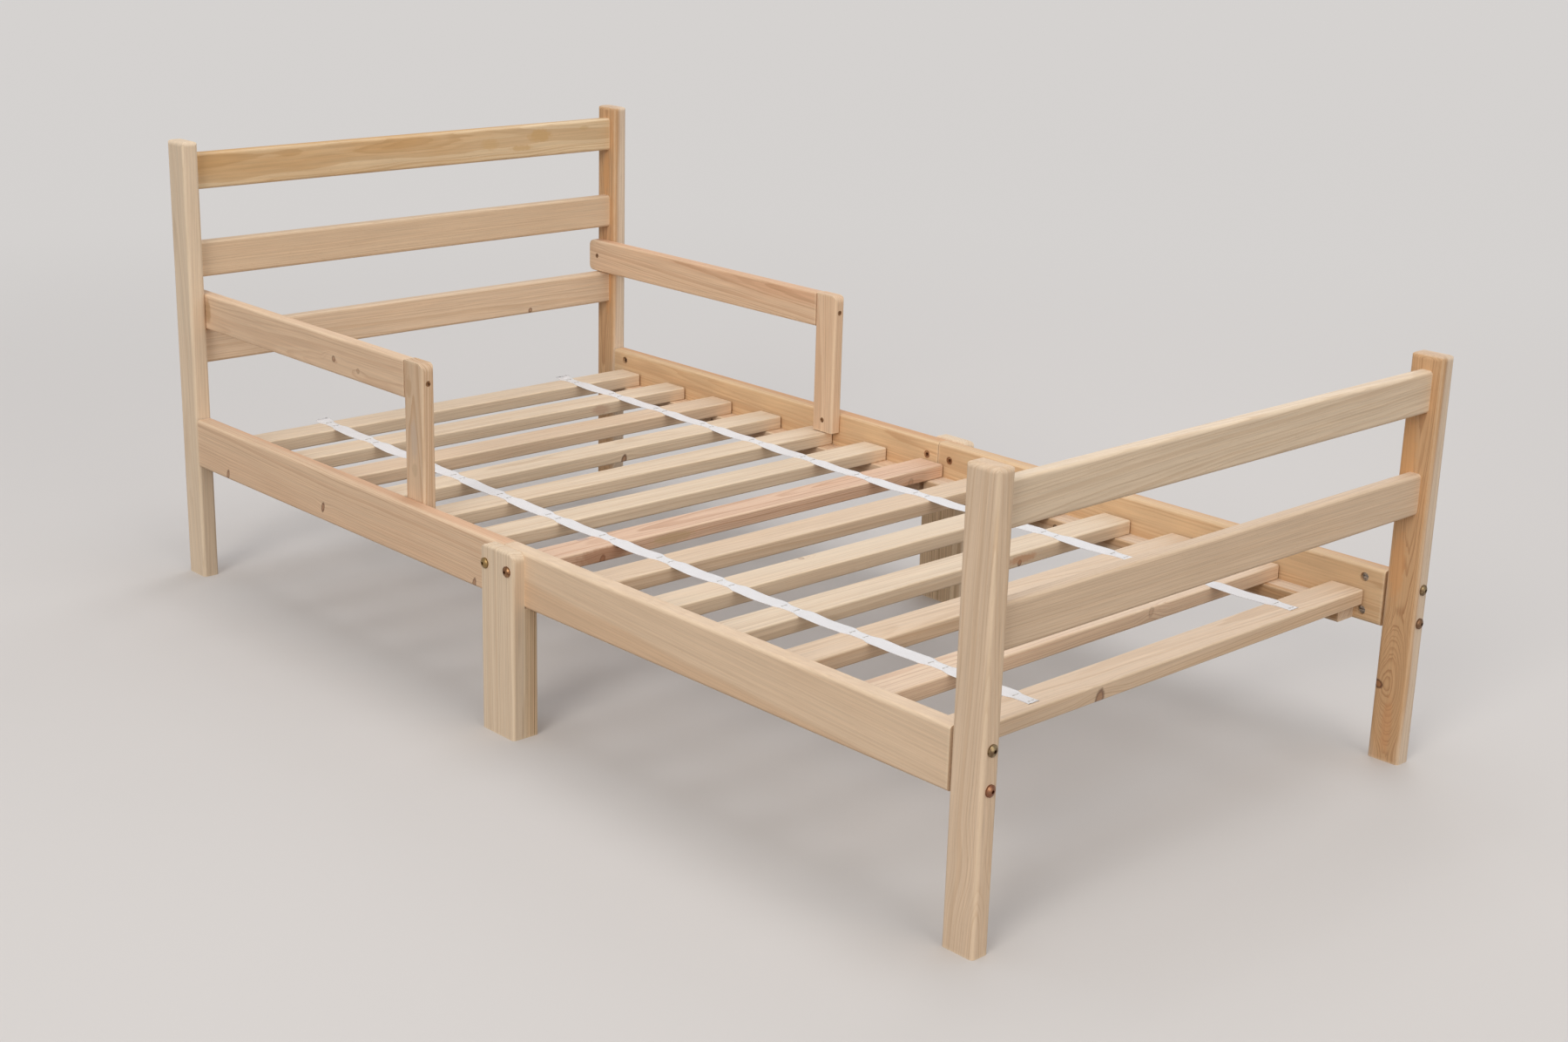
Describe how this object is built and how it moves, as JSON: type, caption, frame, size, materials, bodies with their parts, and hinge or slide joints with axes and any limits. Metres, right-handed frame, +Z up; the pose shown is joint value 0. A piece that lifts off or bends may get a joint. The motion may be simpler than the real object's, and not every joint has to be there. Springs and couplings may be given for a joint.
{
  "type": "child bed",
  "caption": "Low child's bed in plain pine with a slatted base on ribbons, railed head and foot ends, middle legs and a short guard at the head of each side.",
  "frame": {"origin": "on the floor, under the middle of the bed", "axes": "+X across the bed to its right side, seen from the foot; +Y along the bed towards the head; +Z up"},
  "size_m": [0.9056, 1.7066, 0.687],
  "materials": {
    "pine": "planed and sanded pine, untreated",
    "dowel_wood": "fluted hardwood dowel",
    "bolt_zinc": "yellow zinc plating",
    "nut_steel": "bright zinc plating",
    "screw_steel": "dull zinc plating",
    "webbing": "white woven ribbon",
    "staple_steel": "galvanised wire"
  },
  "bodies": {
    "root": {"head_post_left": "pine", "head_post_right": "pine", "foot_post_left": "pine", "foot_post_right": "pine", "head_rail_top": "pine", "head_rail_middle": "pine", "head_rail_bottom": "pine", "foot_rail_top": "pine", "foot_rail_bottom": "pine", "side_rail_left_head": "pine", "side_rail_left_foot": "pine", "side_rail_right_head": "pine", "side_rail_right_foot": "pine", "ledger_left_head": "pine", "ledger_left_foot": "pine", "ledger_right_head": "pine", "ledger_right_foot": "pine", "mid_leg_board_left": "pine", "mid_leg_board_right": "pine", "mid_leg_block_left": "pine", "mid_leg_block_right": "pine", "guard_board_left": "pine", "guard_board_right": "pine", "guard_upright_left": "pine", "guard_upright_right": "pine", "slat_01": "pine", "slat_02": "pine", "slat_03": "pine", "slat_04": "pine", "slat_05": "pine", "slat_06": "pine", "slat_07": "pine", "slat_08": "pine", "slat_09": "pine", "slat_10": "pine", "slat_11": "pine", "slat_12": "pine", "slat_13": "pine", "ribbon_left": "webbing", "ribbon_right": "webbing", "staples": "staple_steel", "rail_dowels": "dowel_wood", "post_bolts": "bolt_zinc", "barrel_nuts": "nut_steel", "leg_bolts": "bolt_zinc", "sleeve_nuts": "nut_steel", "guard_screws": "screw_steel", "ledger_screws": "screw_steel"}
  },
  "joints": []
}
